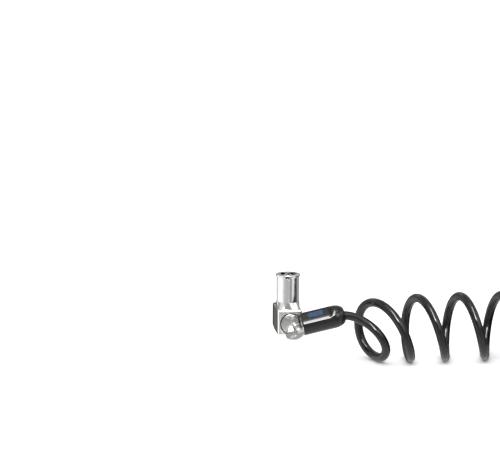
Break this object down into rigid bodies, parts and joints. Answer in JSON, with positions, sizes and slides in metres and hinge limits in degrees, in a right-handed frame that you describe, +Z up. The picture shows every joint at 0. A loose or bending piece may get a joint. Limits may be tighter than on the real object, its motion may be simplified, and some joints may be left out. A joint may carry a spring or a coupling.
{
  "type": "laptop cable lock",
  "caption": "Keyed laptop lock: chrome barrel on a square block with a wedge nose, a pivoting sheathed arm and a self-coiling black cable with an anchor loop.",
  "frame": {"origin": "root of the wedge nose, in the middle of the bumper face that lies against the laptop", "axes": "+X towards the cable, +Y out of the bumper into the laptop, +Z up along the lock barrel"},
  "size_m": [0.2399, 0.0419, 0.0354],
  "materials": {
    "chrome": "bright chrome plating, satin on the front of the block",
    "steel": "machined steel",
    "brass": "turned brass",
    "black_plastic": "semi-gloss moulded black plastic",
    "label": "plain blue inlay",
    "rubber": "matt black rubber",
    "cable": "smooth glossy black jacket over a steel core"
  },
  "bodies": {
    "cable": {"swivel_ferrule": "steel", "cable_stub": "cable", "open_coil": "cable", "closed_coil": "cable", "cable_neck": "cable", "loop_crimp": "steel", "loop_boot": "black_plastic", "anchor_loop": "cable"},
    "arm": {"pivot_lug": "chrome", "arm_core": "steel", "sheath_body": "black_plastic", "label_inlay": "label", "sheath_end_cap": "black_plastic", "core_retainer": "steel"},
    "head": {"housing_block": "chrome", "lock_barrel": "chrome", "pin_housing": "brass", "barrel_pin": "steel", "nose_plate": "steel", "plate_screws": "steel", "rubber_bumper": "rubber", "pivot_washer": "steel", "stud_retainer": "steel", "pin_springs": "steel"},
    "plug": {"lock_spindle": "chrome", "drive_crank": "steel"},
    "key_pin_set": {"key_pins": "brass"},
    "driver_pin_set": {"driver_pins": "brass"},
    "bolt": {"wedge_bolt": "steel"}
  },
  "joints": [
    {"name": "cable_swivel", "type": "hinge", "parent": "cable", "child": "arm", "pos_m": [0.0004, -0.0229, -0.0005], "axis": [0.977, 0, 0.213], "continuous": true},
    {"name": "head_pivot", "type": "hinge", "parent": "arm", "child": "head", "pos_m": [0.0004, -0.0178, -0.0005], "axis": [0, 1, 0], "range_deg": [-102, 77]},
    {"name": "plug_turn", "type": "hinge", "parent": "head", "child": "plug", "pos_m": [0, -0.0108, 0], "axis": [0, 0, -1], "range_deg": [0, 90]},
    {"name": "key_pin_travel", "type": "slide", "parent": "plug", "child": "key_pin_set", "axis": [0, 0, -1], "range_m": [0, 0.0009], "stiffness_N_per_m": 20, "springref_m": -0.0002},
    {"name": "driver_pin_travel", "type": "slide", "parent": "head", "child": "driver_pin_set", "axis": [0, 0, -1], "range_m": [0, 0.0009], "deforming": ["pin_springs"]},
    {"name": "bolt_slide", "type": "slide", "parent": "head", "child": "bolt", "axis": [0, -1, 0], "range_m": [0, 0.00226]}
  ],
  "couplings": [
    {"joint": "plug_turn", "follows": "bolt_slide", "rad_per_m": 694.2},
    {"joint": "driver_pin_travel", "follows": "key_pin_travel", "ratio": 1}
  ]
}
